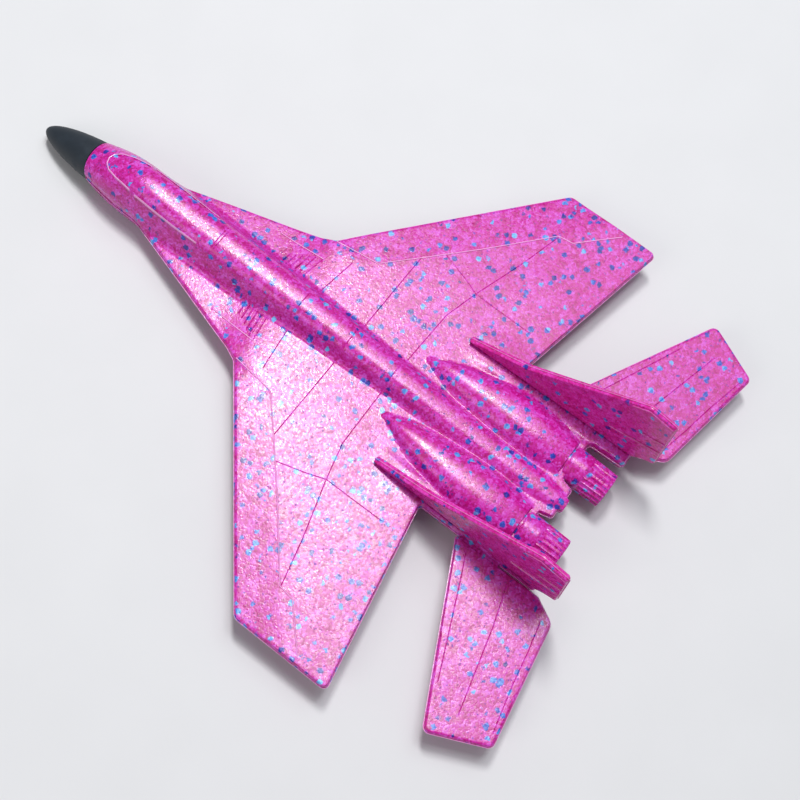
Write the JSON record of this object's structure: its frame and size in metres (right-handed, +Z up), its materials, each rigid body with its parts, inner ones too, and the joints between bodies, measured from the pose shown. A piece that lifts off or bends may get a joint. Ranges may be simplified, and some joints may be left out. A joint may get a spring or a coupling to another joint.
{
  "type": "toy airplane",
  "caption": "Hand-launched foam toy jet glider with swept wings, plug-in twin fins and stabilizers, engine humps and a soft black nose cone.",
  "frame": {"origin": "on the floor, under the middle of the glider's length, between the two flat belly trunks", "axes": "+X to the glider's left wing tip, +Y aft (the nose points to -Y), +Z up"},
  "size_m": [0.3418, 0.4398, 0.0866],
  "materials": {
    "foam": "satin moulded bead foam, hot pink with scattered blue beads",
    "nose_rubber": "matte soft rubber, charcoal black",
    "weight_steel": "plain turned steel"
  },
  "bodies": {
    "airframe": {"airframe": "foam"},
    "nose": {"nose_cone": "nose_rubber", "nose_weight": "weight_steel"},
    "fin_left": {"fin_left": "foam"},
    "fin_right": {"fin_right": "foam"},
    "stabilizer_left": {"stabilizer_left": "foam"},
    "stabilizer_right": {"stabilizer_right": "foam"}
  },
  "joints": [
    {"name": "nose_pull", "type": "slide", "parent": "airframe", "child": "nose", "axis": [0, -0.9816, -0.1908], "range_m": [0, 0.0165]},
    {"name": "fin_left_lift", "type": "slide", "parent": "airframe", "child": "fin_left", "axis": [0.0628, -0.0014, 0.998], "range_m": [0, 0.05]},
    {"name": "fin_right_lift", "type": "slide", "parent": "airframe", "child": "fin_right", "axis": [-0.0628, -0.0014, 0.998], "range_m": [0, 0.05]},
    {"name": "stabilizer_left_pull", "type": "slide", "parent": "airframe", "child": "stabilizer_left", "axis": [1, 0, 0], "range_m": [0, 0.05]},
    {"name": "stabilizer_right_pull", "type": "slide", "parent": "airframe", "child": "stabilizer_right", "axis": [-1, 0, 0], "range_m": [0, 0.05]}
  ]
}
